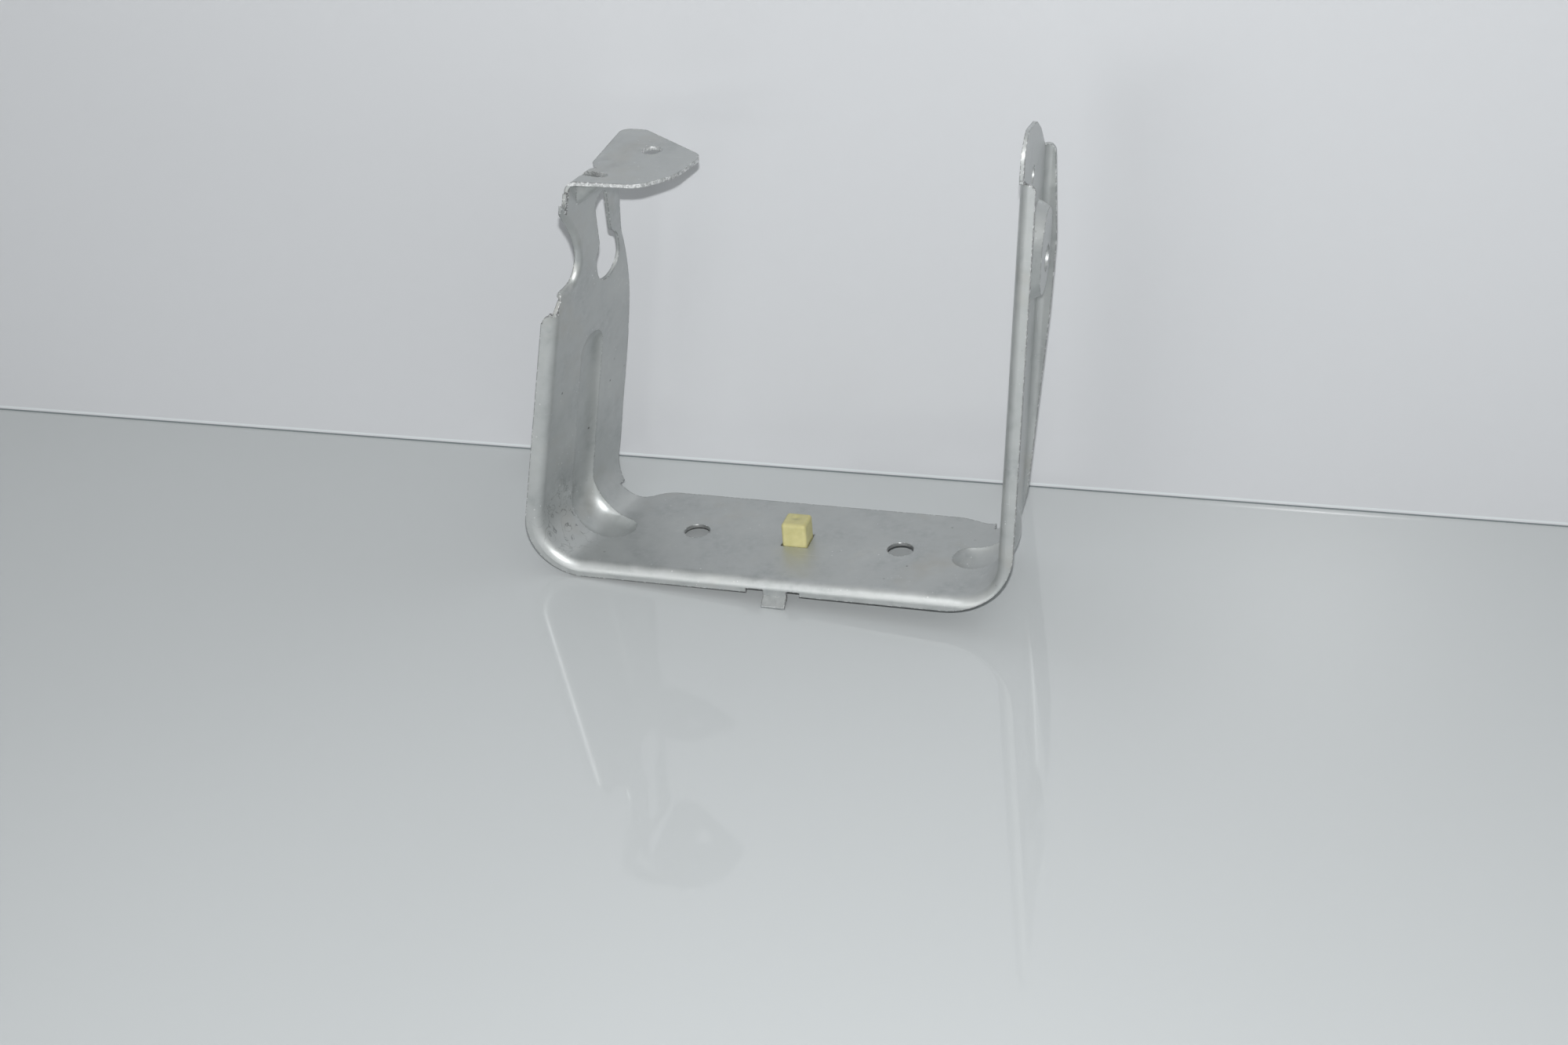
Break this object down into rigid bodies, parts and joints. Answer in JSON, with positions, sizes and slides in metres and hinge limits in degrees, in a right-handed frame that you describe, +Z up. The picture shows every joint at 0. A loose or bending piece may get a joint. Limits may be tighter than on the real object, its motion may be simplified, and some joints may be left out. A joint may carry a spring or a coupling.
{
  "type": "stamped metal bracket",
  "caption": "Folded sheet-metal U bracket with drawn edge flanges, pressed ribs, a bent top tab, a keyhole and mounting holes, with a plastic screw grommet in its base.",
  "frame": {"origin": "middle of the base on its top face, halfway between the two bolt holes", "axes": "X to the right along the base towards the taller leg, Y to the back, Z up, square to the base"},
  "size_m": [0.1415, 0.0443, 0.135],
  "materials": {
    "zinc_steel": "zinc plated, semi-gloss, faintly mottled, with bright bends and small scratches",
    "nylon": "natural nylon, slightly yellowed, satin"
  },
  "bodies": {
    "root": {"bracket": "zinc_steel", "screw_grommet": "nylon"}
  },
  "joints": []
}
